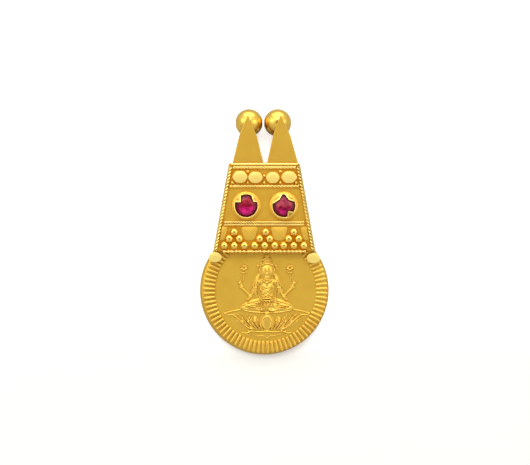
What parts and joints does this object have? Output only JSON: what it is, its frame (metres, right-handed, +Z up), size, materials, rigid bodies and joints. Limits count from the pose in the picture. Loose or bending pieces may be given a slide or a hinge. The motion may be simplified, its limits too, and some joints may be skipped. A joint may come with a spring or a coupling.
{
  "type": "gold pendant",
  "caption": "Gold marriage pendant: a struck coin under a tapered plate with twisted wires, beads, grains and two round red stones, two spires and drilled cord balls above.",
  "frame": {"origin": "on the surface the pendant lies on, below the middle of its outline", "axes": "+Z up, out of the pendant's face; +Y from the coin to the cord balls; +X to the viewer's right"},
  "size_m": [0.0168, 0.032, 0.0041],
  "materials": {
    "satin_gold": "satin-struck 22 carat gold",
    "polished_gold": "polished 22 carat gold",
    "ruby": "faceted and polished"
  },
  "bodies": {
    "root": {"coin": "satin_gold", "plate": "satin_gold", "left_spire": "satin_gold", "right_spire": "satin_gold", "left_ball": "polished_gold", "right_ball": "polished_gold", "left_edge_rope": "polished_gold", "right_edge_rope": "polished_gold", "top_band": "polished_gold", "top_rope": "polished_gold", "upper_rope": "polished_gold", "fine_rope_1": "polished_gold", "fine_rope_2": "polished_gold", "beaded_wire": "polished_gold", "left_setting": "polished_gold", "right_setting": "polished_gold", "left_stone": "ruby", "right_stone": "ruby", "left_half_petal": "satin_gold", "left_petal": "satin_gold", "right_petal": "satin_gold", "right_half_petal": "satin_gold", "left_stud": "polished_gold", "right_stud": "polished_gold", "speck_grains": "polished_gold", "flat_bead_1": "polished_gold", "flat_bead_2": "polished_gold", "flat_bead_3": "polished_gold", "flat_bead_4": "polished_gold", "grain_1": "polished_gold", "grain_2": "polished_gold", "grain_3": "polished_gold", "grain_4": "polished_gold", "grain_5": "polished_gold", "grain_6": "polished_gold", "grain_7": "polished_gold", "grain_8": "polished_gold", "grain_9": "polished_gold", "grain_10": "polished_gold", "grain_11": "polished_gold", "grain_12": "polished_gold", "grain_13": "polished_gold", "grain_14": "polished_gold", "grain_15": "polished_gold", "grain_16": "polished_gold", "grain_17": "polished_gold", "grain_18": "polished_gold"}
  },
  "joints": []
}
